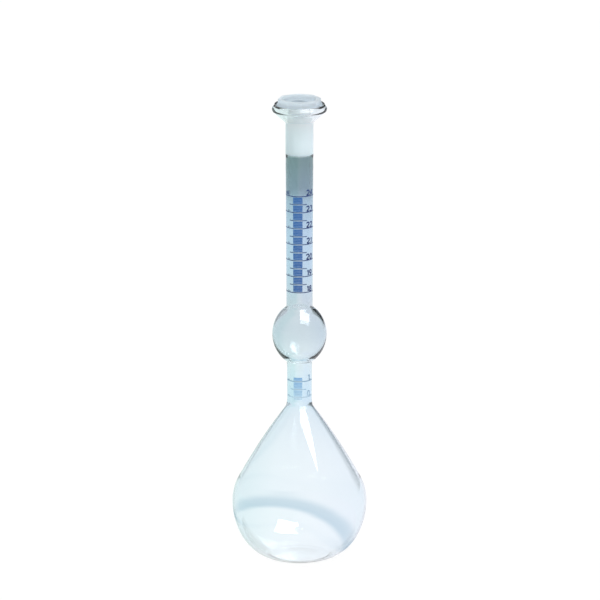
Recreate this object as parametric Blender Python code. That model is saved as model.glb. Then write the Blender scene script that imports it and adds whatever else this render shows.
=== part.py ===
"""Two-bulb volumetric flask of the kind used for cement density, with its polyethylene stopper.

Metres, +Z up.  The origin is the centre of the foot, on the bench, and every section is turned
about the Z axis.  The flask is made as a glassblower makes it: a base bulb, a graduated lower neck,
a middle bulb, a graduated upper neck and a ground socket with a funnel mouth, joined end to end by
flame.  The stopper is a separate moulding that seats in the socket and lifts straight out.

A section's outline is a list of (radius, height) points, with height measured from the section's own
lower seam.  It runs up the inside, over the top and down the outside.
"""

from math import acos, atan, cos, pi, radians, sin, sqrt, tan

import bmesh
import bpy

# --- Glass: bore and walls
BORE_RADIUS = 0.0058  # 1 mL takes 9.46 mm of neck
LOWER_NECK_WALL_FOOT = 0.00125
LOWER_NECK_WALL_TOP = 0.00144
UPPER_NECK_WALL_FOOT = 0.00177
UPPER_NECK_WALL_TOP = 0.00215
WELD_GAP = 0.0003  # kept between sections that are one glass once welded

# --- Base bulb
BASE_RADIUS = 0.03885
BASE_EQUATOR_HEIGHT = 0.0332
BASE_WALL = 0.0013
FOOT_RADIUS = 0.0170
FOOT_THICKNESS = 0.0019
HEEL_OVERRUN = 0.0003  # how far below the bench the lower curve would turn level
PUNT_RADIUS = 0.0125  # the shallow hollow pressed into the foot
PUNT_RISE = 0.0007
SHOULDER_RADIUS = 0.0280
CONE_ANGLE = radians(32.7)  # of the cone's side, from the axis
ROOT_FILLET = 0.0015
ROOT_COLLAR_WALL = 0.0021  # the thickened glass where the cone turns into the neck
ROOT_COLLAR_HEIGHT = 0.0012
ROOT_SHRINK_HEIGHT = 0.0019  # over which the collar draws down to the neck

# --- Necks and middle bulb
LOWER_NECK_LENGTH = 0.0214
MIDDLE_RADIUS = 0.0157
MIDDLE_HALF_HEIGHT = 0.01826  # of the whole spheroid, before the necks cut it
MIDDLE_WALL = 0.00125
MIDDLE_STUB_BELOW = 0.0014
MIDDLE_STUB_ABOVE = 0.0041
UPPER_NECK_LENGTH = 0.0782

# --- Ground socket: 14.5 mm at its large end, tapering 1 in 10 on the diameter
SOCKET_LARGE_RADIUS = 0.00725
GROUND_LENGTH = 0.0200
TAPER_PER_LENGTH = 1 / 20  # of radius
SOCKET_WALL = 0.0008  # at the large end
SOCKET_STUB = 0.0052
SOCKET_LEAD = 0.0020  # from the bore out to the small end

# --- Stopper
HEAD_ACROSS_FLATS = 0.0247
HEAD_SIDES = 8
HEAD_THICKNESS = 0.0046
HEAD_EDGE = 0.0004
HEAD_TURN = radians(6.7)  # of a flat from square to the front
HEAD_RIM_WIDTH = 0.0026  # from the recess to a flat
RECESS_DEPTH = 0.0023
PLUG_WALL = 0.0013
PLUG_END_THICKNESS = 0.0015
PLUG_END_ROUNDING = 0.0016
PLUG_CLEARANCE = 0.0003  # round the plug in its socket
PLUG_ROOT_SHARE = 1 / 4  # of the head's thickness, how far the plug's solid runs up into the head

# --- Funnel mouth
CUP_ANGLE = radians(46.4)  # of the funnel's side, from the axis
CUP_WALL = 0.0014
HEAD_CLEARANCE = 0.00043  # round the head's corners in the mouth
HEAD_RISE = 0.0018  # of the head's underside above the top of the funnel's slope
RIM_THICKNESS = 0.0021
RIM_STRAIGHT = 0.0032  # height of the rim's inner wall
RIM_ROUNDING = 0.0020
CREST_WIDTH_SHARE = 1 / 5  # of the rim's thickness, level across its crest

# --- Finish
GLASS_IOR = 1.473
GLASS_TINT = (0.86, 0.93, 0.96)
SMOKY_TINT = (0.66, 0.79, 0.86)  # the upper neck
GROUND_TINT = (0.82, 0.88, 0.91)
CLEAR_ROUGHNESS = 0.02
GROUND_ROUGHNESS = 0.3
PLASTIC_IOR = 1.51
PLASTIC_TINT = (0.83, 0.88, 0.92)
PLASTIC_ROUGHNESS = 0.42

# --- Fineness
SIDES = 40  # flats round a turned surface
MERGE_DISTANCE = 0.00001  # of a turned outline's ends
BULB_STEPS = 12
ARC_STEPS = 5
EDGE_STEPS = 2  # across a rounded edge of the head

HEAD_CORNER_RADIUS = HEAD_ACROSS_FLATS / 2 / cos(pi / HEAD_SIDES)
CUP_RADIUS = HEAD_CORNER_RADIUS + HEAD_CLEARANCE
RIM_RADIUS = CUP_RADIUS + RIM_THICKNESS
SLOPE_HEIGHT = (CUP_RADIUS - SOCKET_LARGE_RADIUS) / tan(CUP_ANGLE)
HEAD_HEIGHT = SLOPE_HEIGHT + HEAD_RISE  # of its underside above the large end of the taper


def arc(centre, radius, start, end, steps, height=None):
    """Points on an arc, or on a stretch of an ellipse when its height differs from its radius."""
    turns = (start + (end - start) * i / steps for i in range(steps + 1))
    rise = radius if height is None else height
    return [(centre[0] + radius * cos(turn), centre[1] + rise * sin(turn)) for turn in turns]


def base_outline():
    """The base bulb: level foot, elliptical heel, round shoulder, cone and neck collar."""
    normal = (cos(CONE_ANGLE), sin(CONE_ANGLE))
    shoulder_centre = (BASE_RADIUS - SHOULDER_RADIUS, BASE_EQUATOR_HEIGHT)
    collar_radius = BORE_RADIUS + ROOT_COLLAR_WALL

    def wall(inset, floor, neck_radius, fillet):
        """One side of the glass from the foot up to the end of the root fillet."""
        equator = BASE_EQUATOR_HEIGHT
        drop = equator + HEEL_OVERRUN
        reach = (BASE_RADIUS - FOOT_RADIUS) / (1 - sqrt(1 - (equator / drop) ** 2))
        lowest = -acos(sqrt(1 - ((equator - floor) / (drop - inset)) ** 2))
        heel_centre = (BASE_RADIUS - reach, equator)
        heel = arc(heel_centre, reach - inset, lowest, 0, BULB_STEPS, drop - inset)
        shoulder = arc(shoulder_centre, SHOULDER_RADIUS - inset, 0, CONE_ANGLE, ARC_STEPS)
        reach_out = neck_radius + fillet - shoulder_centre[0]
        rise = (SHOULDER_RADIUS - inset + fillet - reach_out * normal[0]) / normal[1]
        fillet_centre = (neck_radius + fillet, equator + rise)
        root = arc(fillet_centre, fillet, pi + CONE_ANGLE, pi, ARC_STEPS)
        return heel + shoulder[1:] + root

    outside = wall(0, 0, collar_radius, ROOT_FILLET)
    inside = wall(BASE_WALL, FOOT_THICKNESS, BORE_RADIUS, ROOT_FILLET + BASE_WALL)
    collar_top = outside[-1][1] + ROOT_COLLAR_HEIGHT
    seam = collar_top + ROOT_SHRINK_HEIGHT
    neck_radius = BORE_RADIUS + LOWER_NECK_WALL_FOOT
    inside_floor = [(0, FOOT_THICKNESS + PUNT_RISE), (PUNT_RADIUS, FOOT_THICKNESS)]
    top = [(BORE_RADIUS, seam), (neck_radius, seam), (collar_radius, collar_top)]
    foot = [(PUNT_RADIUS, 0), (0, PUNT_RISE)]
    return inside_floor + inside + top + outside[::-1] + foot


def tube_outline(length, foot_wall, top_wall):
    """A drawn tube of the flask's bore."""
    outer_foot = (BORE_RADIUS + foot_wall, 0)
    outer_top = (BORE_RADIUS + top_wall, length)
    return [(BORE_RADIUS, 0), (BORE_RADIUS, length), outer_top, outer_foot]


def middle_outline():
    """The middle bulb: a tall spheroid that the necks cut, with a short stub of neck at each end."""
    lower_radius = BORE_RADIUS + LOWER_NECK_WALL_TOP
    upper_radius = BORE_RADIUS + UPPER_NECK_WALL_FOOT
    meets_lower = acos(lower_radius / MIDDLE_RADIUS)
    meets_upper = acos(upper_radius / MIDDLE_RADIUS)
    centre = (0, MIDDLE_STUB_BELOW + MIDDLE_HALF_HEIGHT * sin(meets_lower))
    length = centre[1] + MIDDLE_HALF_HEIGHT * sin(meets_upper) + MIDDLE_STUB_ABOVE
    inner_radius = MIDDLE_RADIUS - MIDDLE_WALL
    inner_half = MIDDLE_HALF_HEIGHT - MIDDLE_WALL
    meets_bore = acos(BORE_RADIUS / inner_radius)
    inside = arc(centre, inner_radius, -meets_bore, meets_bore, BULB_STEPS, inner_half)
    outside = arc(centre, MIDDLE_RADIUS, meets_upper, -meets_lower, BULB_STEPS, MIDDLE_HALF_HEIGHT)
    ends = [(BORE_RADIUS, length), (upper_radius, length)]
    return [(BORE_RADIUS, 0)] + inside + ends + outside + [(lower_radius, 0)]


def socket_outline():
    """The ground socket, opening into a funnel mouth with a thick rounded rim."""
    small_radius = SOCKET_LARGE_RADIUS - GROUND_LENGTH * TAPER_PER_LENGTH
    outer_radius = SOCKET_LARGE_RADIUS + SOCKET_WALL
    ground_foot = SOCKET_STUB + SOCKET_LEAD
    mouth = ground_foot + GROUND_LENGTH
    slope_top = mouth + SLOPE_HEIGHT
    crest = slope_top + RIM_STRAIGHT
    inside = [
        (BORE_RADIUS, 0),
        (BORE_RADIUS, SOCKET_STUB),
        (small_radius, ground_foot),
        (SOCKET_LARGE_RADIUS, mouth),
        (CUP_RADIUS, slope_top),
    ]
    # The funnel's outer slope runs CUP_WALL below the inner one, and the rim's arc is tangent to it.
    shift = (CUP_WALL * cos(CUP_ANGLE), -CUP_WALL * sin(CUP_ANGLE))
    slope_foot = mouth + shift[1] + (outer_radius - SOCKET_LARGE_RADIUS - shift[0]) / tan(CUP_ANGLE)
    arc_radius = RIM_RADIUS - RIM_ROUNDING
    across = (arc_radius - outer_radius) * cos(CUP_ANGLE) + RIM_ROUNDING
    arc_centre = (arc_radius, slope_foot + across / sin(CUP_ANGLE))
    rim = arc(arc_centre, RIM_ROUNDING, pi / 4, CUP_ANGLE - pi / 2, ARC_STEPS)
    top = [(CUP_RADIUS, crest), (CUP_RADIUS + RIM_THICKNESS * CREST_WIDTH_SHARE, crest)]
    neck_radius = BORE_RADIUS + UPPER_NECK_WALL_TOP
    outside = [(outer_radius, slope_foot), (outer_radius, ground_foot)]
    return inside + top + rim + outside + [(neck_radius, SOCKET_STUB), (neck_radius, 0)]


def plug_outline():
    """The stopper's hollow plug, with height measured from the large end of the taper."""
    clearance = PLUG_CLEARANCE / cos(atan(TAPER_PER_LENGTH))

    def radius(height):
        return SOCKET_LARGE_RADIUS - clearance + height * TAPER_PER_LENGTH

    foot = -GROUND_LENGTH
    top = HEAD_HEIGHT + HEAD_THICKNESS * PLUG_ROOT_SHARE
    rounding = (radius(foot) - PLUG_END_ROUNDING, foot + PLUG_END_ROUNDING)
    end = arc(rounding, PLUG_END_ROUNDING, 0, -pi / 2, ARC_STEPS)
    return [(0, top), (radius(top), top)] + end + [(0, foot)]


def hollow_outline():
    """What is cut from the stopper: the round recess in its head, and the hollow of its plug."""
    recess_radius = HEAD_ACROSS_FLATS / 2 - HEAD_RIM_WIDTH
    recess_floor = HEAD_HEIGHT + HEAD_THICKNESS - RECESS_DEPTH
    above = recess_floor + 2 * RECESS_DEPTH
    floor = PLUG_END_THICKNESS - GROUND_LENGTH
    floor_radius = SOCKET_LARGE_RADIUS + floor * TAPER_PER_LENGTH - PLUG_CLEARANCE - PLUG_WALL
    mouth_radius = floor_radius + (recess_floor - floor) * TAPER_PER_LENGTH
    return [
        (0, above),
        (recess_radius, above),
        (recess_radius, recess_floor),
        (mouth_radius, recess_floor),
        (floor_radius, floor),
        (0, floor),
    ]


def material(name, colour, roughness, transmission, ior):
    made = bpy.data.materials.new(name)
    made.use_nodes = True
    shader = made.node_tree.nodes["Principled BSDF"]
    shader.inputs["Base Color"].default_value = (*colour, 1)
    shader.inputs["Roughness"].default_value = roughness
    shader.inputs["Metallic"].default_value = 0
    shader.inputs["Transmission Weight"].default_value = transmission
    shader.inputs["IOR"].default_value = ior
    return made


def glass(name, colour=GLASS_TINT, roughness=CLEAR_ROUGHNESS):
    return material(name, colour, roughness, 1.0, GLASS_IOR)


def turned(name, outline, finish, height):
    """A solid of revolution: the outline's edges, turned round Z by a Screw that stays on the object."""
    mesh = bpy.data.meshes.new(name)
    edges = [(i, i + 1) for i in range(len(outline) - 1)]
    if outline[0][0] > 0:
        edges.append((len(outline) - 1, 0))
    mesh.from_pydata([(radius, 0, rise) for radius, rise in outline], edges, [])
    if finish:
        mesh.materials.append(finish)
    piece = bpy.data.objects.new(name, mesh)
    piece.location.z = height
    bpy.context.scene.collection.objects.link(piece)
    screw = piece.modifiers.new("Turn", "SCREW")
    screw.steps = SIDES
    screw.render_steps = SIDES
    screw.use_merge_vertices = True
    screw.merge_threshold = MERGE_DISTANCE
    screw.use_smooth_shade = True
    return piece


def octagonal_head(height):
    """The stopper's head: a low prism with its edges rounded off."""
    mesh = bpy.data.meshes.new("stopper")
    shape = bmesh.new()
    bmesh.ops.create_cone(
        shape,
        cap_ends=True,
        segments=HEAD_SIDES,
        radius1=HEAD_CORNER_RADIUS,
        radius2=HEAD_CORNER_RADIUS,
        depth=HEAD_THICKNESS,
    )
    bmesh.ops.bevel(
        shape, geom=shape.edges[:], offset=HEAD_EDGE, segments=EDGE_STEPS, profile=0.5, affect="EDGES"
    )
    bmesh.ops.translate(shape, vec=(0, 0, HEAD_HEIGHT + HEAD_THICKNESS / 2), verts=shape.verts[:])
    shape.to_mesh(mesh)
    shape.free()
    head = bpy.data.objects.new("stopper", mesh)
    head.location.z = height
    head.rotation_euler.z = HEAD_TURN
    bpy.context.scene.collection.objects.link(head)
    return head


def helper(piece):
    """Keeps a shape that only joins to or cuts another out of the finished model."""
    piece.hide_render = True
    piece.display_type = "WIRE"
    return piece


def stopper(height):
    """The stopper, with its origin on the axis at the large end of the socket's taper."""
    head = octagonal_head(height)
    head.data.materials.append(
        material("milky_polyethylene", PLASTIC_TINT, PLASTIC_ROUGHNESS, 0.0, PLASTIC_IOR)
    )
    for name, outline, operation in (
        ("stopper_plug", plug_outline(), "UNION"),
        ("stopper_hollow", hollow_outline(), "DIFFERENCE"),
    ):
        step = head.modifiers.new(name, "BOOLEAN")
        step.object = helper(turned(name, outline, None, height))
        step.operation = operation
    return head


def flask():
    """Stacks the glass sections from the bench up, and returns the height of the socket's mouth."""
    sections = (
        ("base_bulb", base_outline(), glass("base_glass")),
        (
            "lower_neck",
            tube_outline(LOWER_NECK_LENGTH, LOWER_NECK_WALL_FOOT, LOWER_NECK_WALL_TOP),
            glass("lower_neck_glass"),
        ),
        ("middle_bulb", middle_outline(), glass("middle_glass")),
        (
            "upper_neck",
            tube_outline(UPPER_NECK_LENGTH, UPPER_NECK_WALL_FOOT, UPPER_NECK_WALL_TOP),
            glass("upper_neck_glass", SMOKY_TINT),
        ),
        ("ground_socket", socket_outline(), glass("ground_glass", GROUND_TINT, GROUND_ROUGHNESS)),
    )
    seam = 0
    for name, outline, finish in sections:
        turned(name, outline, finish, seam)
        foot = seam
        seam += max(rise for _, rise in outline) + WELD_GAP
    return foot + SOCKET_STUB + SOCKET_LEAD + GROUND_LENGTH


for left_over in list(bpy.data.objects):
    bpy.data.objects.remove(left_over)
stopper(flask())
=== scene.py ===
from math import cos, pi, radians, sin, tan

import bpy
import numpy as np
from mathutils import Matrix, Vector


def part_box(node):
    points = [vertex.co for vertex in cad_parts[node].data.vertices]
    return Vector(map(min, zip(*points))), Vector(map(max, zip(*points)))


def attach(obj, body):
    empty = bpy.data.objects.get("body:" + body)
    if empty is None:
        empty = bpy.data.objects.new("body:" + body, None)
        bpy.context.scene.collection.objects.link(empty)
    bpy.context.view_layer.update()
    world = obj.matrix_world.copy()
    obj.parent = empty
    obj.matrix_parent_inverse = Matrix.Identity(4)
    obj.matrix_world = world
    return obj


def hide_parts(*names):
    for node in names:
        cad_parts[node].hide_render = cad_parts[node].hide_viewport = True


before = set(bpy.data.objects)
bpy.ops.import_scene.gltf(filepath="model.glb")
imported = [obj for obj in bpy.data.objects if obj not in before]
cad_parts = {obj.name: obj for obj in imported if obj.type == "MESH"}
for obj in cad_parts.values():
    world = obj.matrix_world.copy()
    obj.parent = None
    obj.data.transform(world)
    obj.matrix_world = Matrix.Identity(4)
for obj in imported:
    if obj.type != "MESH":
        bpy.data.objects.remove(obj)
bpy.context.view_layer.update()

# ---------------------------------------------------------------------------------------------
# The blown glass: base bulb, necks, middle bulb and ground socket, one piece once the flame has
# joined them.  Borosilicate, thin in the bulbs, thicker in the drawn necks and the fire-polished
# rim, with faint rings where one section was welded to the next.  It stands on its own foot.
# ---------------------------------------------------------------------------------------------
MM = 0.001
SHELL_SIDES = 88
OUTLINE_STEP = 0.1 * MM  # of the fine outline that the rings are picked from
RING_LENGTH = 1.7 * MM  # the widest spacing of rings along a straight side
RING_TURN = radians(3.2)  # the largest turn of the outline between rings
BORE_RADIUS = 5.8 * MM
CONE_BOW = 0.85 * MM  # how far the cone swells past a straight line
BULB_WALL = 0.68 * MM
MIDDLE_END_WALL = 2.1 * MM  # where the middle bulb draws in to the necks
FOOT_THICKNESS = 1.1 * MM
FOOT_CENTRE_EXTRA = 0.4 * MM  # the foot is thickest in its middle
PUNT_RISE = 0.45 * MM  # the shallow hollow pressed into the foot from below
PUNT_RADIUS = 13.5 * MM
MIDDLE_HALF_HEIGHT = 18.26 * MM  # of the whole ellipse, before the necks cut it
MIDDLE_FOOT_RADIUS = 7.24 * MM  # where the bulb springs from the lower neck, a little above its weld
MIDDLE_FOOT_RISE = 1.4 * MM
UPPER_NECK_FOOT_RADIUS = 7.57 * MM
LOWER_NECK_FOOT_RADIUS = 7.05 * MM
CONE_ROOT_RADIUS = 7.4 * MM

_, base_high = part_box("base_bulb")
lower_low, lower_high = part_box("lower_neck")
middle_low, middle_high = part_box("middle_bulb")
upper_low, upper_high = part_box("upper_neck")
socket_low, socket_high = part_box("ground_socket")

LOWER_SEAM = (base_high[2] + lower_low[2]) / 2
MIDDLE_SEAM = (lower_high[2] + middle_low[2]) / 2
UPPER_SEAM = (middle_high[2] + upper_low[2]) / 2
SOCKET_SEAM = (upper_high[2] + socket_low[2]) / 2


def arc(centre, radius, start, end, height=None):
    """Points round a centre, (radius cos t, height sin t), for t from start to end."""
    height = radius if height is None else height
    count = max(3, int(abs(end - start) * max(radius, height) / OUTLINE_STEP))
    turn = np.linspace(start, end, count)
    return np.stack([centre[0] + radius * np.cos(turn), centre[1] + height * np.sin(turn)], axis=1)


def base_side(inset, floor, neck_radius, fillet):
    """One side of the base bulb from the foot up: heel, round shoulder, cone, and a fillet into the neck."""
    radius, equator = base_high[0], 33.2 * MM
    foot_radius, overrun = 17.0 * MM, 0.3 * MM
    shoulder, cone = 28.0 * MM, radians(32.7)
    drop = equator + overrun
    reach = (radius - foot_radius) / (1 - np.sqrt(1 - (equator / drop) ** 2))
    lowest = -np.arcsin((equator - floor) / (drop - inset))
    heel = arc((radius - reach, equator), reach - inset, lowest, 0, drop - inset)
    middle = radius - shoulder
    round_part = arc((middle, equator), shoulder - inset, 0, cone)
    rise = (shoulder - inset + fillet - (neck_radius + fillet - middle) * cos(cone)) / sin(cone)
    root = arc((neck_radius + fillet, equator + rise), fillet, pi + cone, pi)
    share = np.linspace(0, 1, 60)[1:-1, None]
    slope = round_part[-1] + share * (root[0] - round_part[-1])
    slope += 4 * share * (1 - share) * CONE_BOW * np.array([cos(cone), sin(cone)])
    return np.concatenate([heel, round_part, slope, root])


def middle_side(inset, end_inset, lower_radius, upper_radius):
    """One side of the middle bulb: a tall ellipse from the lower neck's radius to the upper one's."""
    radius, half = middle_high[0] - inset, MIDDLE_HALF_HEIGHT - end_inset
    foot_height = middle_low[2] + MIDDLE_FOOT_RISE
    centre = foot_height + MIDDLE_HALF_HEIGHT * sin(np.arccos(MIDDLE_FOOT_RADIUS / middle_high[0]))
    return arc((0, centre), radius, -np.arccos(lower_radius / radius), np.arccos(upper_radius / radius), half)


# The mouth: a 1 in 10 ground taper, a funnel, and a thick rim whose outer side is an arc.
GROUND_FOOT = socket_low[2] + 7.2 * MM
GROUND_TOP = GROUND_FOOT + 20.0 * MM
SOCKET_LARGE_RADIUS = 7.25 * MM
SOCKET_WALL = 0.8 * MM
FUNNEL_ANGLE = radians(46.4)
FUNNEL_OUTER_ANGLE = radians(48.0)
RIM_INNER_RADIUS = 13.80 * MM
RIM_RADIUS = socket_high[0]
RIM_ROUNDING = 2.0 * MM
funnel_top = GROUND_TOP + (RIM_INNER_RADIUS - SOCKET_LARGE_RADIUS) / tan(FUNNEL_ANGLE)
crest = socket_high[2]
mouth_inside = [
    (BORE_RADIUS, GROUND_FOOT - 2.0 * MM),
    (SOCKET_LARGE_RADIUS - 1.0 * MM, GROUND_FOOT),
    (SOCKET_LARGE_RADIUS, GROUND_TOP),
    (RIM_INNER_RADIUS, funnel_top),
    (RIM_INNER_RADIUS, crest - 0.3 * MM),
    (RIM_INNER_RADIUS + 0.3 * MM, crest),
]
rim_arc_height = crest - 2.9 * MM
rim_centre = (RIM_RADIUS - RIM_ROUNDING, rim_arc_height)
rim_arc = arc(rim_centre, RIM_ROUNDING, pi / 3.4, FUNNEL_OUTER_ANGLE - pi / 2)
socket_radius = SOCKET_LARGE_RADIUS + SOCKET_WALL
slope_foot = rim_arc[-1, 1] - (rim_arc[-1, 0] - socket_radius) / tan(FUNNEL_OUTER_ANGLE)

across = np.linspace(0, PUNT_RADIUS, 40)
hollow = (1 - (across / across[-1]) ** 2) ** 2
inside = np.concatenate([
    np.stack([across, FOOT_THICKNESS + FOOT_CENTRE_EXTRA * hollow], axis=1),
    base_side(BULB_WALL, FOOT_THICKNESS, BORE_RADIUS, 2.8 * MM),
    middle_side(BULB_WALL, MIDDLE_END_WALL, BORE_RADIUS, BORE_RADIUS),
    mouth_inside,
])
base_outside = base_side(0, 0, CONE_ROOT_RADIUS, 5.0 * MM)
outside = np.concatenate([
    [(RIM_INNER_RADIUS + 0.6 * MM, crest)],
    rim_arc,
    [
        (socket_radius, slope_foot),
        (socket_radius, GROUND_FOOT),
        (upper_high[0], GROUND_FOOT - 3.0 * MM),
        (upper_high[0], SOCKET_SEAM),
        (UPPER_NECK_FOOT_RADIUS, upper_low[2]),
        (UPPER_NECK_FOOT_RADIUS, UPPER_SEAM),
    ],
    middle_side(0, 0, lower_high[0], UPPER_NECK_FOOT_RADIUS)[::-1],
    [
        (lower_high[0], MIDDLE_SEAM),
        (LOWER_NECK_FOOT_RADIUS, LOWER_SEAM),
        (CONE_ROOT_RADIUS, base_outside[-1, 1] + 0.4 * MM),
    ],
    base_outside[::-1],
    np.stack([across, PUNT_RISE * hollow], axis=1)[::-1],
])


def softened(points, radius):
    """The outline at even steps, each point the Gaussian mean of those near it, which melts sharp corners."""
    steps = np.hypot(*np.diff(points, axis=0).T)
    along = np.concatenate([[0], np.cumsum(steps)])
    keep = np.concatenate([[True], steps > 1e-9])
    even = np.linspace(0, along[-1], int(along[-1] / OUTLINE_STEP))
    line = np.stack([np.interp(even, along[keep], points[keep, k]) for k in (0, 1)], axis=1)
    reach = int(3 * radius / OUTLINE_STEP)
    weight = np.exp(-0.5 * (np.arange(-reach, reach + 1) * OUTLINE_STEP / radius) ** 2)
    weight /= weight.sum()
    padded = np.concatenate([2 * line[0] - line[reach:0:-1], line, 2 * line[-1] - line[-2 : -reach - 2 : -1]])
    soft = np.stack([np.convolve(padded[:, k], weight, "valid") for k in (0, 1)], axis=1)
    soft[0], soft[-1] = line[0], line[-1]
    return soft


def picked(line, ring_length=RING_LENGTH, ring_turn=RING_TURN):
    """Points of a fine outline, close together where it turns and far apart where it runs straight."""
    step = np.diff(line, axis=0)
    heading = np.unwrap(np.arctan2(step[:, 1], step[:, 0]))
    turn = np.abs(np.diff(heading, prepend=heading[0]))
    cost = np.concatenate([[0], np.cumsum(np.hypot(*step.T) / ring_length + turn / ring_turn)])
    chosen = np.interp(np.linspace(0, cost[-1], int(cost[-1]) + 2), cost, np.arange(len(line)))
    return line[np.unique(chosen.round().astype(int))]


def weld_rings(line):
    """Faint swellings at each weld: the radius grows by a bell curve of the height from the seam."""
    grown = line.copy()
    for seam, swell, width in (
        (LOWER_SEAM, 0.05, 0.9),
        (MIDDLE_SEAM, 0.05, 0.7),
        (UPPER_SEAM, 0.05, 1.1),
        (SOCKET_SEAM, 0.06, 1.6),
    ):
        grown[:, 0] += swell * MM * np.exp(-0.5 * ((line[:, 1] - seam) / (width * MM)) ** 2)
    return grown


def turned(name, rings, sides, shape=None):
    """Each (radius, height) of an outline carried round Z as (r cos a, r sin a, z), r changed by shape if given.
    The outline starts and ends on the axis, where its end points become the poles."""
    turn = np.arange(sides) * 2 * pi / sides
    radius = rings[1:-1, 0][:, None] * np.ones(sides)
    if shape is not None:
        radius = shape(radius, rings[1:-1], turn)
    height = np.broadcast_to(rings[1:-1, 1][:, None], radius.shape)
    grid = np.stack([radius * np.cos(turn), radius * np.sin(turn), height], axis=2).reshape(-1, 3)
    poles = np.array([(0, 0, rings[0, 1]), (0, 0, rings[-1, 1])])
    count = len(rings) - 2
    ring, side = np.meshgrid(np.arange(count - 1), np.arange(sides), indexing="ij")
    after = (side + 1) % sides
    quads = np.stack([ring, ring, ring + 1, ring + 1], axis=2) * sides
    quads = (quads + np.stack([side, after, after, side], axis=2))[:, :, ::-1].reshape(-1, 4)
    spoke = np.arange(sides)
    start = np.stack([np.full(sides, count * sides), spoke, (spoke + 1) % sides], axis=1)
    last = (count - 1) * sides
    end = np.stack([np.full(sides, count * sides + 1), last + (spoke + 1) % sides, last + spoke], axis=1)
    mesh = bpy.data.meshes.new(name)
    faces = quads.tolist() + start.tolist() + end.tolist()
    mesh.from_pydata(np.concatenate([grid, poles]).tolist(), [], faces)
    mesh.shade_smooth()
    piece = bpy.data.objects.new(name, mesh)
    bpy.context.scene.collection.objects.link(piece)
    return piece


def face_centres(piece):
    """The middle of each face, one row a face."""
    centres = np.empty(len(piece.data.polygons) * 3)
    piece.data.polygons.foreach_get("center", centres)
    return centres.reshape(-1, 3)


def nodes_of(name):
    """A new material with its node tree, its Principled shader and a short way to add and join nodes."""
    made = bpy.data.materials.new(name)
    made.use_nodes = True
    tree = made.node_tree
    shader = tree.nodes["Principled BSDF"]

    def add(kind, **settings):
        node = tree.nodes.new("ShaderNode" + kind)
        for key, value in settings.items():
            if key in node.inputs.keys():
                node.inputs[key].default_value = value
            else:
                setattr(node, key, value)
        return node

    return made, shader, add, tree.links.new


def height_colour(add, join, stops):
    """A colour by height up the object, blended between (height in mm, linear colour) stops."""
    low, high = stops[0][0], stops[-1][0]
    place = add("TexCoord")
    axes = add("SeparateXYZ")
    span = add("MapRange", **{"From Min": low * MM, "From Max": high * MM})
    ramp = add("ValToRGB")
    ramp.color_ramp.interpolation = "LINEAR"
    marks = ramp.color_ramp.elements
    while len(marks) < len(stops):
        marks.new(1.0)
    for mark, (height, colour) in zip(marks, stops):
        mark.position = (height - low) / (high - low)
        mark.color = (*colour, 1)
    join(place.outputs["Object"], axes.inputs[0])
    join(axes.outputs["Z"], span.inputs["Value"])
    join(span.outputs["Result"], ramp.inputs[0])
    return ramp.outputs["Color"], place.outputs["Object"]


def ripple(add, join, place, shader, scale, stretch, strength, distance):
    """Fine unevenness: noise of the given scale, stretched along the axis as drawing leaves it, as a bump."""
    mapping = add("Mapping")
    mapping.inputs["Scale"].default_value = (1, 1, stretch)
    noise = add("TexNoise", Scale=scale, Detail=2.0, Roughness=0.45)
    bump = add("Bump", Strength=strength, Distance=distance)
    join(place, mapping.inputs[0])
    join(mapping.outputs[0], noise.inputs["Vector"])
    join(noise.outputs["Fac"], bump.inputs["Height"])
    join(bump.outputs[0], shader.inputs["Normal"])
    return noise.outputs["Fac"]


# Painted shade and painted reflection of the surroundings, by height, given as what two walls let through:
# nearly clear in the bulbs, painted dark shade under the ground joint.
PAINTED_SHADE_BY_HEIGHT = (
    (0, (0.92, 0.96, 1.0)),
    (38, (0.90, 0.95, 0.985)),
    (66, (0.85, 0.91, 0.96)),
    (85, (0.76, 0.84, 0.91)),
    (98, (0.69, 0.86, 0.96)),
    (117, (0.80, 0.89, 0.92)),
    (133, (0.60, 0.69, 0.75)),
    (150, (0.66, 0.72, 0.77)),
    (168, (0.58, 0.72, 0.84)),
    (192, (0.54, 0.68, 0.83)),
    (212, (0.40, 0.53, 0.64)),
    (217, (0.25, 0.34, 0.41)),
    (236, (0.20, 0.29, 0.30)),
    (238.6, (0.20, 0.29, 0.30)),
    (239.4, (0.97, 1.0, 1.0)),
    (258, (0.98, 1.0, 1.0)),
    (271, (0.92, 0.96, 0.98)),
)


def clear_glass():
    """Tinted on the outer side only, so each wall colours light once, there with painted shade and painted
    reflection by height; greener the longer the way inside it.
    """
    made, shader, add, join = nodes_of("clear_borosilicate")
    colour, place = height_colour(add, join, PAINTED_SHADE_BY_HEIGHT)
    side = add("Attribute", attribute_name="outer_side")
    tint = add("Mix", data_type="RGBA")
    tint.inputs[6].default_value = (0.97, 0.985, 0.99, 1)
    join(side.outputs["Fac"], tint.inputs[0])
    join(colour, tint.inputs[7])
    join(tint.outputs[2], shader.inputs["Base Color"])
    shader.inputs["Roughness"].default_value = 0.0
    shader.inputs["Transmission Weight"].default_value = 1.0
    shader.inputs["IOR"].default_value = 1.473
    depth = add("VolumeAbsorption", Color=(0.55, 0.72, 0.80, 1), Density=16.0)
    join(depth.outputs[0], made.node_tree.nodes["Material Output"].inputs["Volume"])
    ripple(add, join, place, shader, 45.0, 0.35, 0.05, 0.0006)
    return made


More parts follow.
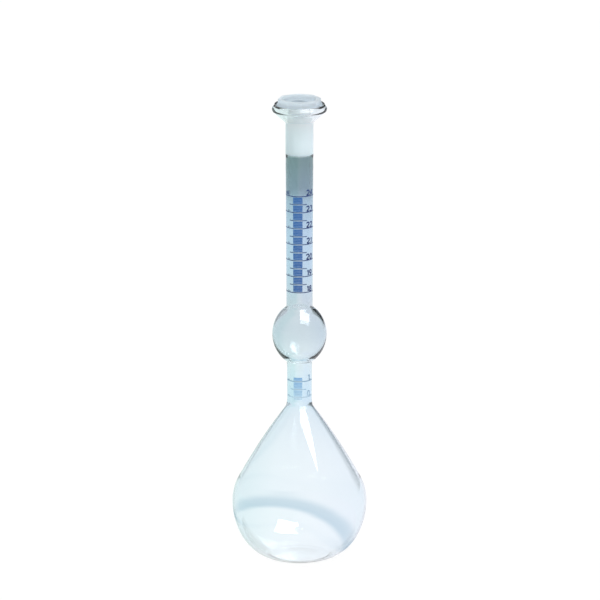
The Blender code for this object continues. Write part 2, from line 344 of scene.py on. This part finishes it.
def ground_glass():
    """The socket's inside, ground with grit: matt white, with painted light that makes it brighter towards the
    top, against the stopper head's shade.

    Light goes to and fro many times inside the frosted wall before it leaves, more often than a render
    follows it.  The small emission stands for the part that the render leaves out.
    """
    made, shader, add, join = nodes_of("ground_borosilicate")
    # Painted light: the ground zone is made brighter towards the top, where the stopper's head shades it.
    painted_light_by_height = ((238, (0.85, 0.93, 0.96)), (252, (0.90, 0.97, 0.99)), (262, (0.98, 1.0, 1.0)))
    colour, place = height_colour(add, join, painted_light_by_height)
    join(colour, shader.inputs["Base Color"])
    shader.inputs["Transmission Weight"].default_value = 0.05
    shader.inputs["IOR"].default_value = 1.473
    shader.inputs["Emission Color"].default_value = (0.84, 0.96, 1, 1)
    shader.inputs["Emission Strength"].default_value = 0.085
    grit = ripple(add, join, place, shader, 2600.0, 1.0, 0.35, 0.00005)
    rough = add("MapRange", **{"To Min": 0.30, "To Max": 0.44})
    join(grit, rough.inputs["Value"])
    join(rough.outputs["Result"], shader.inputs["Roughness"])
    return made


def hand_drawn(radius, rings, turn):
    """A glassblower's slight unevenness: r less a few hundredths of a millimetre in slow waves."""
    height = rings[:, 1][:, None]
    waves = np.sin(2 * turn + 38 * height) + 0.7 * np.sin(3 * turn - 61 * height + 1.3)
    return radius - 0.018 * MM * (1.7 + waves) * np.clip(radius / (6 * MM), 0, 1)


def melted(points, drawn, moulded):
    """The outline softened more where it was blown and drawn, and less in the ground socket above."""
    loose, tight = softened(points, drawn), softened(points, moulded)
    share = np.clip((tight[:, 1:] - SOCKET_SEAM) / (4 * MM) + 0.5, 0, 1)
    return loose + share * (tight - loose)


inner_rings = picked(weld_rings(melted(inside, 1.8 * MM, 0.3 * MM)))
outer_rings = picked(weld_rings(melted(outside, 0.55 * MM, 0.3 * MM)))
glass = turned("flask_glass", np.concatenate([inner_rings, outer_rings]), SHELL_SIDES, hand_drawn)
outer_side = np.zeros(len(glass.data.vertices), np.float32)
outer_side[(len(inner_rings) - 1) * SHELL_SIDES : -2] = 1
outer_side[-1] = 1
glass.data.attributes.new("outer_side", "FLOAT", "POINT").data.foreach_set("value", outer_side)
glass.data.materials.append(clear_glass())
glass.data.materials.append(ground_glass())
centres = face_centres(glass)
is_ground = (np.hypot(centres[:, 0], centres[:, 1]) < SOCKET_LARGE_RADIUS + 0.05 * MM) & (
    (centres[:, 2] > GROUND_FOOT) & (centres[:, 2] < GROUND_TOP)
)
glass.data.polygons.foreach_set("material_index", is_ground.astype(np.int32))
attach(glass, "flask")
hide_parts("base_bulb", "lower_neck", "middle_bulb", "upper_neck", "ground_socket")

# ---------------------------------------------------------------------------------------------
# The graduations: blue ceramic ink, screened on the finished necks and fired.  A line every
# 0.1 mL, longer ones every 0.5 mL, rings most of the way round every 1 mL, and the figures.
# ---------------------------------------------------------------------------------------------
ML_PITCH = 9.46 * MM
MARK_18 = 158.8 * MM
MARK_1 = 105.85 * MM
SCALE_TURN = radians(-90 - 7)  # the middle of the scale, from +X; a reader stands at -Y
INK_LIFT = 0.035 * MM
INK_BED = -0.004 * MM
LINE_STEP = 0.8 * MM


def neck_radius(height):
    """The outer radius of the glass at a height on either neck, from its finest outline."""
    return np.interp(height, NECK_LINE[:, 1], NECK_LINE[:, 0])


neck_points = weld_rings(softened(outside, 0.3 * MM))
NECK_LINE = neck_points[np.argsort(neck_points[:, 1])]


def printed(paths):
    """Ribbons of ink on the neck: each path of (distance round, height) points gets a width, then is wrapped.
    Four corners a point, outer and inner, joined into a closed band with an end at each end."""
    points, faces, first = [], [], 0
    for turn, path, width in paths:
        path = np.asarray(path, float)
        along = np.gradient(path, axis=0)
        along /= np.linalg.norm(along, axis=1)[:, None]
        across = np.stack([-along[:, 1], along[:, 0]], axis=1) * width / 2
        for shift, lift in ((across, INK_LIFT), (-across, INK_LIFT), (-across, INK_BED), (across, INK_BED)):
            flat = path + shift
            radius = neck_radius(flat[:, 1]) + lift
            angle = turn + flat[:, 0] / neck_radius(path[:, 1])
            points.append(np.stack([radius * np.cos(angle), radius * np.sin(angle), flat[:, 1]], axis=1))
        count = len(path)
        step = np.arange(count - 1)
        for corner in range(4):
            here, there = first + corner * count, first + (corner + 1) % 4 * count
            faces += np.stack([here + step, there + step, there + step + 1, here + step + 1], axis=1).tolist()
        ends = first + np.arange(4) * count
        faces += [ends[::-1].tolist(), (ends + count - 1).tolist()]
        first += 4 * count
    return np.concatenate(points), faces


def round_line(start, end, height, width):
    """A line round the neck between two angles from the middle of the scale, in degrees."""
    radius = neck_radius(height)
    reach = radians(end - start) * radius
    along = np.linspace(0, reach, max(3, int(reach / LINE_STEP)))
    return SCALE_TURN + radians(start), np.stack([along, np.full(len(along), height)], axis=1), width


def bow(cx, cy, rx, ry, start, end, count=14):
    """Part of an ellipse about (cx, cy), between two angles in degrees."""
    turn = np.radians(np.linspace(start, end, count))
    return np.stack([cx + rx * np.cos(turn), cy + ry * np.sin(turn)], axis=1)


def straight(*ends):
    """A line through corner points, with enough points on it to wrap round the neck."""
    ends = np.array(ends, float)
    return np.concatenate([np.linspace(a, b, 6)[:-1] for a, b in zip(ends[:-1], ends[1:])] + [ends[-1:]])


# Single-stroke figures in a box 0.62 wide and 1 high.
FIGURES = {
    "0": [bow(0.31, 0.5, 0.27, 0.46, 90, 450, 26)],
    "1": [straight((0.12, 0.78), (0.34, 0.96), (0.34, 0.04))],
    "2": [np.concatenate([bow(0.31, 0.70, 0.26, 0.26, 165, -30), straight((0.05, 0.05), (0.58, 0.05))])],
    "3": [np.concatenate([bow(0.29, 0.73, 0.24, 0.23, 150, -80), bow(0.29, 0.27, 0.27, 0.25, 80, -150)])],
    "4": [straight((0.44, 0.04), (0.44, 0.96), (0.05, 0.32), (0.60, 0.32))],
    "8": [bow(0.31, 0.73, 0.22, 0.22, -90, 270, 22), bow(0.31, 0.27, 0.26, 0.25, 90, 450, 22)],
    "9": [np.concatenate([bow(0.31, 0.68, 0.25, 0.27, 0, 360, 22), bow(0.05, 0.60, 0.51, 0.56, 8, -70, 10)])],
    "m": [straight((0.08, 0.04), (0.08, 0.60)), bow(0.22, 0.42, 0.14, 0.18, 180, 0, 8),
          straight((0.36, 0.42), (0.36, 0.04)), bow(0.50, 0.42, 0.14, 0.18, 180, 0, 8),
          straight((0.64, 0.42), (0.64, 0.04))],
    "l": [straight((0.14, 0.96), (0.14, 0.04))],
}


def figures(text, centre, foot, size, width):
    """The strokes of a short number, centred at an angle from the scale's middle and standing at a height."""
    advance = {"m": 0.86, "l": 0.3, "1": 0.60}
    total = sum(advance.get(sign, 0.80) for sign in text)
    start = -total / 2
    strokes = []
    for sign in text:
        for stroke in FIGURES[sign]:
            path = stroke * size + (start * size, foot)
            strokes.append((SCALE_TURN + radians(centre), path, width))
        start += advance.get(sign, 0.80)
    return strokes


FIGURE_HEIGHT = 3.3 * MM
FINE_LINE, HALF_LINE, RING_LINE, FIGURE_LINE = 0.85 * MM, 0.46 * MM, 0.50 * MM, 0.80 * MM


def scale(first, zero, numbers, low, high):
    """One neck's scale, in tenths of a millilitre above its first mark: (fine lines, rings and figures)."""
    fine, strokes = [], []
    for tenth in range(low, high + 1):
        height = zero + tenth * ML_PITCH / 10
        if tenth % 10 == 0:
            strokes.append(round_line(-79, 93, height, RING_LINE))
        elif tenth % 5 == 0:
            strokes.append(round_line(-39, 40, height, HALF_LINE))
        else:
            fine.append(round_line(-21, 20, height, FINE_LINE))
    for number in numbers:
        foot = zero + (number - first) * ML_PITCH + 0.35 * MM
        strokes += figures(str(number), 57, foot, FIGURE_HEIGHT, FIGURE_LINE)
    return fine, strokes


def blue_ink(name, stops):
    """Fired ceramic ink: slightly glossy, with the density a screen leaves uneven."""
    made, shader, add, join = nodes_of(name)
    colour, place = height_colour(add, join, stops)
    shader.inputs["Roughness"].default_value = 0.38
    shader.inputs["Specular IOR Level"].default_value = 0.5
    speck = ripple(add, join, place, shader, 1400.0, 1.0, 0.15, 0.00002)
    light = add("MapRange", **{"From Min": 0.3, "From Max": 0.7, "To Min": 0.86, "To Max": 1.12})
    mix = add("VectorMath", operation="MULTIPLY")
    join(speck, light.inputs["Value"])
    join(colour, mix.inputs[0])
    join(light.outputs["Result"], mix.inputs[1])
    join(mix.outputs[0], shader.inputs["Base Color"])
    return made


def print_on_glass(name, strokes, ink):
    """One colour of ink as a piece of its own, lying on the neck and fixed to the flask."""
    points, faces = printed(strokes)
    mesh = bpy.data.meshes.new(name)
    mesh.from_pydata(points.tolist(), [], faces)
    piece = bpy.data.objects.new(name, mesh)
    bpy.context.scene.collection.objects.link(piece)
    mesh.materials.append(ink)
    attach(piece, "flask")


upper_fine, upper_strong = scale(18, MARK_18, range(18, 25), 0, 60)
upper_strong += figures("ml", -52, MARK_18 + 6 * ML_PITCH + 0.5 * MM, 2.8 * MM, 0.5 * MM)
lower_fine, lower_strong = scale(1, MARK_1, (0, 1), -11, 2)
for name, strokes, ink_name, stops in (
    ("upper_fine_lines", upper_fine, "blue_ink", ((150, (0.014, 0.10, 0.34)), (220, (0.022, 0.135, 0.41)))),
    (
        "upper_rings_and_figures", upper_strong, "heavy_blue_ink",
        ((150, (0.006, 0.026, 0.13)), (220, (0.010, 0.045, 0.19))),
    ),
    # The lower scale's ink is paler towards the bottom, the fine lines and the rings alike.
    (
        "lower_fine_lines", lower_fine, "lower_blue_ink_paler_below",
        ((92, (0.62, 0.80, 0.90)), (99, (0.42, 0.64, 0.84)), (107, (0.24, 0.46, 0.74))),
    ),
    (
        "lower_rings_and_figures", lower_strong, "lower_heavy_ink_paler_below",
        ((92, (0.62, 0.78, 0.88)), (99, (0.38, 0.55, 0.70)), (107, (0.20, 0.36, 0.52))),
    ),
):
    print_on_glass(name, strokes, blue_ink(ink_name, stops))

# ---------------------------------------------------------------------------------------------
# The stopper: one moulding in milky polyethylene.  An eight-sided head with a round recess in its
# top, and a hollow tapered plug, open from above and closed below, that seats in the ground joint.
# ---------------------------------------------------------------------------------------------
stopper_low, stopper_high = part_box("stopper")
STOPPER_SIDES = 160
HEAD_FLAT = 12.35 * MM
HEAD_TURN = radians(6.7)
HEAD_THICKNESS = 4.6 * MM
PLUG_WALL = 1.3 * MM
PLUG_CLEARANCE = 0.3 * MM
CORNER_SHARPNESS = 70  # the higher, the less the head's eight corners are rounded
head_top = stopper_high[2]
head_foot = head_top - HEAD_THICKNESS


def plug_radius(height):
    """The plug's outer radius: the socket's 1 in 10 taper less the clearance left round it."""
    return SOCKET_LARGE_RADIUS - PLUG_CLEARANCE + (height - GROUND_TOP) / 20


plug_foot = stopper_low[2]
recess_floor = head_top - 2.3 * MM
recess_radius = HEAD_FLAT - 2.6 * MM
hollow_foot = plug_foot + 1.5 * MM
stopper_line = np.array([
    (0, hollow_foot + 0.5 * MM),
    (1.1 * MM, hollow_foot + 0.45 * MM),
    (1.5 * MM, hollow_foot),
    (plug_radius(hollow_foot) - PLUG_WALL, hollow_foot),
    (plug_radius(recess_floor) - PLUG_WALL - 0.2 * MM, recess_floor),
    (recess_radius - 0.1 * MM, recess_floor),
    (recess_radius, head_top),
    (HEAD_FLAT - 0.8 * MM, head_top),
    (HEAD_FLAT - 0.65 * MM, head_top - 2.4 * MM),
    (HEAD_FLAT, head_top - 3.3 * MM),
    (HEAD_FLAT, head_foot),
    (plug_radius(head_foot), head_foot),
    (plug_radius(plug_foot + 1.2 * MM), plug_foot + 1.2 * MM),
    (plug_radius(plug_foot) - 1.6 * MM, plug_foot),
    (0, plug_foot),
])


def eight_sided(radius, rings, turn):
    """Rings at the head's edge follow a rounded octagon, and those inside the recess stay round.

    The octagon's radius is flat / (sum over its sides of cos^p)^(1/p); p sets how sharp its corners are.
    """
    sides = np.arange(8) * pi / 4
    facing = np.clip(np.cos(turn[:, None] - HEAD_TURN - sides - pi / 8), 0, None)
    octagon = 1 / (facing**CORNER_SHARPNESS).sum(axis=1) ** (1 / CORNER_SHARPNESS)
    share = np.clip((rings[:, 0] - recess_radius) / (0.6 * MM), 0, 1)[:, None]
    return radius * (1 + share * (octagon - 1))


def milky_polyethylene(name, stops, clearness):
    """Polyethylene, cloudy inside and satin from the mould; its colour by height carries painted shade and
    painted light, which make the plug look whiter.
    """
    made, shader, add, join = nodes_of(name)
    colour, place = height_colour(add, join, stops)
    join(colour, shader.inputs["Base Color"])
    shader.inputs["Transmission Weight"].default_value = clearness
    shader.inputs["IOR"].default_value = 1.25
    grain = ripple(add, join, place, shader, 700.0, 1.0, 0.12, 0.00006)
    rough = add("MapRange", **{"To Min": 0.34, "To Max": 0.5})
    join(grain, rough.inputs["Value"])
    join(rough.outputs["Result"], shader.inputs["Roughness"])
    return made


stopper_rings = picked(softened(stopper_line, 0.22 * MM), 1.0 * MM, radians(9))
stopper = turned("stopper_moulding", stopper_rings, STOPPER_SIDES, eight_sided)
# Painted shade on the head, darker towards its foot than on its lit top; painted light on the plug, made whiter
# where the head shades it.
for name, stops, clearness in (
    ("milky_polyethylene", ((266, (0.62, 0.71, 0.79)), (271, (0.92, 0.97, 1.0))), 0.45),
    ("plug_polyethylene_painted_light", ((236, (0.93, 0.98, 1.0)), (267, (0.98, 1.0, 1.0))), 0.08),
):
    stopper.data.materials.append(milky_polyethylene(name, stops, clearness))
in_plug = face_centres(stopper)[:, 2] < head_foot - 0.05 * MM
stopper.data.polygons.foreach_set("material_index", in_plug.astype(np.int32))
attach(stopper, "stopper")
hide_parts("stopper")

# ---------------------------------------------------------------------------------------------
# The studio: a pale floor that runs out of sight, an overcast sky with two dark screens low behind
# the flask, and one window-shaped softbox high to its right.  None of it belongs to the flask.
# ---------------------------------------------------------------------------------------------
FLOOR_HALF = 12.0
# The painted shadow's oval round the flask: how far it is shifted along X, and its reach across and deep.
OVAL_SHIFT, OVAL_ACROSS, OVAL_DEEP = 0.019, 0.052, 0.111


def pale_floor():
    """White to the camera; to the glass, a painted shadow: a soft grey oval band round the flask, and painted
    shade at both sides, most on the left.
    """
    made, shader, add, join = nodes_of("pale_floor")
    shader.inputs["Base Color"].default_value = (0.10, 0.10, 0.10, 1)
    shader.inputs["Roughness"].default_value = 0.9
    shader.inputs["Specular IOR Level"].default_value = 0.0
    shader.inputs["Emission Strength"].default_value = 0.94
    place = add("TexCoord")
    mapping = add("Mapping")
    mapping.inputs["Location"].default_value = (OVAL_SHIFT / OVAL_ACROSS, 0, 0)
    mapping.inputs["Scale"].default_value = (1 / OVAL_ACROSS, 1 / OVAL_DEEP, 0)
    reach = add("VectorMath", operation="LENGTH")
    ramp = add("ValToRGB")
    ramp.color_ramp.interpolation = "EASE"
    for mark, shade in (
        (0.42, (0.98, 0.99, 1)),
        (0.475, (0.58, 0.70, 0.78)),
        (0.51, (0.62, 0.73, 0.80)),
        (0.60, (0.96, 0.97, 0.985)),
    ):
        ramp.color_ramp.elements.new(mark).color = (*shade, 1)
    ramp.color_ramp.elements[0].color = (1, 1, 1, 1)
    ramp.color_ramp.elements[-1].color = (0.98, 0.985, 0.99, 1)
    halved = add("Math", operation="MULTIPLY")
    halved.inputs[1].default_value = 0.5
    axes = add("SeparateXYZ")
    span = add("MapRange", **{"From Min": -0.042, "From Max": 0.042})
    fall = add("ValToRGB")
    fall.color_ramp.elements[0].color = (0.80, 0.92, 0.90, 1)
    fall.color_ramp.elements.new(0.3).color = (0.97, 1, 0.985, 1)
    fall.color_ramp.elements.new(0.6).color = (1, 1, 1, 1)
    fall.color_ramp.elements[-1].color = (0.93, 0.94, 0.99, 1)
    both = add("VectorMath", operation="MULTIPLY")
    rays = add("LightPath")
    plain = add("Mix", data_type="RGBA")
    plain.inputs[7].default_value = (1, 1, 1, 1)
    join(place.outputs["Object"], axes.inputs[0])
    join(axes.outputs["X"], span.inputs["Value"])
    join(span.outputs["Result"], fall.inputs[0])
    join(fall.outputs["Color"], both.inputs[0])
    join(ramp.outputs["Color"], both.inputs[1])
    join(place.outputs["Object"], mapping.inputs[0])
    join(mapping.outputs[0], reach.inputs[0])
    join(reach.outputs["Value"], halved.inputs[0])
    join(halved.outputs[0], ramp.inputs[0])
    join(both.outputs[0], plain.inputs[6])
    join(rays.outputs["Is Camera Ray"], plain.inputs[0])
    join(plain.outputs[2], shader.inputs["Emission Color"])
    return made


floor_mesh = bpy.data.meshes.new("floor")
floor_mesh.from_pydata(
    [(x * FLOOR_HALF, y * FLOOR_HALF, -0.2 * MM) for x, y in ((-1, -1), (1, -1), (1, 1), (-1, 1))],
    [],
    [(0, 1, 2, 3)],
)
floor_mesh.materials.append(pale_floor())
floor = bpy.data.objects.new("floor", floor_mesh)
bpy.context.scene.collection.objects.link(floor)

world = bpy.data.worlds.new("overcast")
bpy.context.scene.world = world
world.use_nodes = True
sky = world.node_tree
background = sky.nodes["Background"]
place = sky.nodes.new("ShaderNodeTexCoord")
axes = sky.nodes.new("ShaderNodeSeparateXYZ")
ramp = sky.nodes.new("ShaderNodeValToRGB")
for level, shade in ((0.10, 0.93), (0.45, 0.93)):
    mark = ramp.color_ramp.elements.new(level)
    mark.color = (shade * 0.97, shade, shade * 1.02, 1)
ramp.color_ramp.elements[0].color = (0.92, 0.94, 0.96, 1)
ramp.color_ramp.elements[-1].color = (0.92, 0.95, 0.97, 1)
shaded = ramp.outputs["Color"]
# Each screen: the way it stands from the flask, the half-widths in degrees of its soft edge and of
# its full shade, and how much sky it lets through.
for toward, wide, narrow, depth in (
    ((0.46, 0.88, 0.16), 28, 13, 0.03),
    ((-0.36, 0.93, 0.10), 17, 8, 0.45),
):
    facing = sky.nodes.new("ShaderNodeVectorMath")
    facing.operation = "DOT_PRODUCT"
    facing.inputs[1].default_value = np.array(toward) / np.linalg.norm(toward)
    screen = sky.nodes.new("ShaderNodeMapRange")
    screen.interpolation_type = "SMOOTHSTEP"
    screen.inputs["From Min"].default_value = cos(radians(wide))
    screen.inputs["From Max"].default_value = cos(radians(narrow))
    screen.inputs["To Min"].default_value = 1.0
    screen.inputs["To Max"].default_value = depth
    dimmed = sky.nodes.new("ShaderNodeVectorMath")
    dimmed.operation = "MULTIPLY"
    sky.links.new(place.outputs["Generated"], facing.inputs[0])
    sky.links.new(facing.outputs["Value"], screen.inputs["Value"])
    sky.links.new(shaded, dimmed.inputs[0])
    sky.links.new(screen.outputs["Result"], dimmed.inputs[1])
    shaded = dimmed.outputs[0]
rays = sky.nodes.new("ShaderNodeLightPath")
plain = sky.nodes.new("ShaderNodeMix")
plain.data_type = "RGBA"
plain.inputs[7].default_value = (1, 1, 1, 1)
sky.links.new(place.outputs["Generated"], axes.inputs[0])
sky.links.new(axes.outputs["Z"], ramp.inputs[0])
sky.links.new(rays.outputs["Is Camera Ray"], plain.inputs[0])
sky.links.new(shaded, plain.inputs[6])
sky.links.new(plain.outputs[2], background.inputs["Color"])


LIGHT_AIM_HEIGHT = 0.13


def softbox(name, turn, rise, distance, width, height, power):
    """A rectangular light that faces the flask, at an angle round it and an angle up."""
    light = bpy.data.lights.new(name, "AREA")
    light.shape = "RECTANGLE"
    light.size, light.size_y, light.energy = width, height, power
    away = np.array([cos(rise) * sin(turn), -cos(rise) * cos(turn), sin(rise)])
    side = np.array([1, 0, 0]) - away[0] * away
    side /= np.linalg.norm(side)
    lamp = bpy.data.objects.new(name, light)
    placed = np.eye(4)
    centre = np.array([0, 0, LIGHT_AIM_HEIGHT]) + distance * away
    placed[:3, :4] = np.stack([side, np.cross(away, side), away, centre], axis=1)
    lamp.matrix_world = Matrix(placed.tolist())
    bpy.context.scene.collection.objects.link(lamp)
    return lamp


window = softbox("window", radians(49), radians(63), 1.9, 1.25, 1.2, 44)
window.visible_diffuse = False  # it glints in the glass, and would wash out the matt stopper

CAMERA_DISTANCE = 4.0
CAMERA_RISE = radians(14.5)
VIEW_WIDTH = 0.345
camera_data = bpy.data.cameras.new("camera")
camera_data.sensor_width = 36
camera_data.lens = 36 * CAMERA_DISTANCE / VIEW_WIDTH
camera_data.clip_end = 100
camera = bpy.data.objects.new("camera", camera_data)
aim = np.array([0.0003, 0, 0.1526])
camera.location = aim + CAMERA_DISTANCE * np.array([0, -cos(CAMERA_RISE), sin(CAMERA_RISE)])
camera.rotation_euler = (pi / 2 - CAMERA_RISE, 0, 0)
bpy.context.scene.collection.objects.link(camera)
bpy.context.scene.camera = camera
bpy.context.scene.view_settings.view_transform = "Standard"
